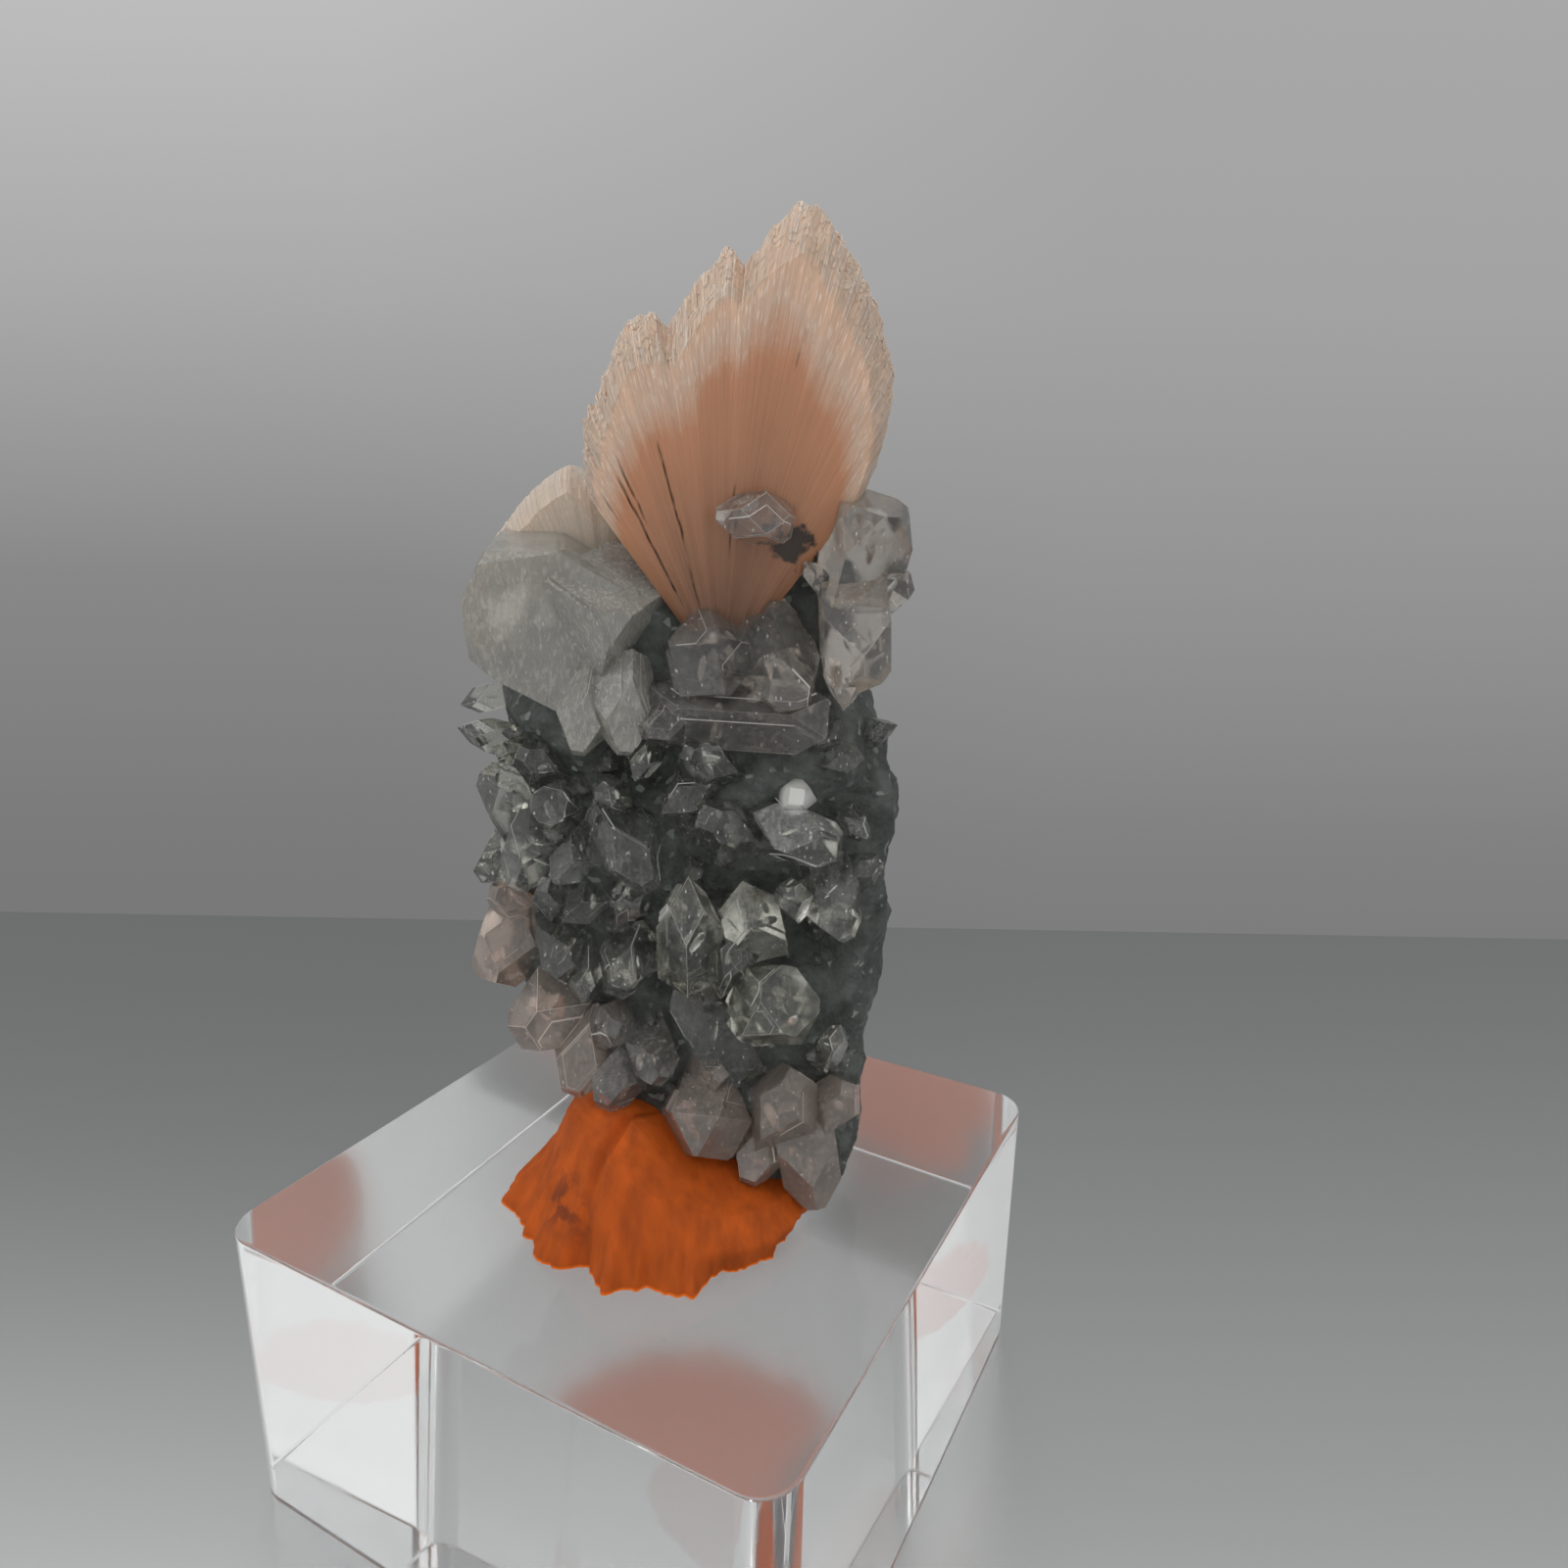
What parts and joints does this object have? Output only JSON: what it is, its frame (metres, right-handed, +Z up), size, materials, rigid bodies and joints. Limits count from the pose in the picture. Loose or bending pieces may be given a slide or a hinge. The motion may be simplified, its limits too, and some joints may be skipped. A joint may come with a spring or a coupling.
{
  "type": "apophyllite and stilbite cluster on a block",
  "caption": "Peach stilbite sheaf and clear apophyllite crystals on dark basalt, held by orange putty on a clear square display block.",
  "frame": {"origin": "centre of the block's underside", "axes": "+Z up, X and Y square to the block's sides; the specimen is turned 28 degrees on the block and faces between -Y and +X"},
  "size_m": [0.05, 0.05, 0.1004],
  "materials": {
    "clear_acrylic": "clear cast acrylic, polished, with rubbed edges",
    "orange_putty": "soft orange mounting putty, thumb-smoothed, dull",
    "basalt": "rough broken green-grey basalt with a fine granular sparkle",
    "stilbite": "peach fibrous crystal with a silky face and a pale sparkling end",
    "pale_stilbite": "cream to grey translucent fibrous crystal, soft and frosty",
    "frosted_apophyllite": "milky grey-green crystal with frosted, pitted faces",
    "clear_apophyllite": "clear glassy crystal with inner veils and stepped faces"
  },
  "bodies": {
    "root": {"acrylic_block": "clear_acrylic", "apophyllite_cavity_left": "clear_apophyllite", "apophyllite_cavity_middle": "clear_apophyllite", "apophyllite_centre_flat": "clear_apophyllite", "apophyllite_centre_large": "clear_apophyllite", "apophyllite_foot_cap": "clear_apophyllite", "apophyllite_foot_right": "clear_apophyllite", "apophyllite_hollow_ring": "clear_apophyllite", "apophyllite_left_edge": "clear_apophyllite", "apophyllite_left_pale_lump": "clear_apophyllite", "apophyllite_left_rim_small": "clear_apophyllite", "apophyllite_long_dark_prism": "clear_apophyllite", "apophyllite_lower_cube": "clear_apophyllite", "apophyllite_lower_left_blocks": "clear_apophyllite", "apophyllite_lower_left_mass": "clear_apophyllite", "apophyllite_lower_middle": "clear_apophyllite", "apophyllite_lower_right_pair": "clear_apophyllite", "apophyllite_middle_lens": "clear_apophyllite", "apophyllite_middle_prism": "clear_apophyllite", "apophyllite_middle_pyramid": "clear_apophyllite", "apophyllite_middle_wedge": "clear_apophyllite", "apophyllite_on_stilbite": "clear_apophyllite", "apophyllite_right_edge_small": "clear_apophyllite", "apophyllite_right_sliver": "clear_apophyllite", "apophyllite_right_trio": "clear_apophyllite", "apophyllite_row_three_left": "clear_apophyllite", "apophyllite_row_two_left": "clear_apophyllite", "apophyllite_row_two_middle": "clear_apophyllite", "apophyllite_upper_left_large": "frosted_apophyllite", "apophyllite_upper_right": "clear_apophyllite", "basalt_matrix": "basalt", "mounting_putty": "orange_putty", "stilbite_sheaf": "stilbite", "stilbite_sheaf_pale": "pale_stilbite"}
  },
  "joints": []
}
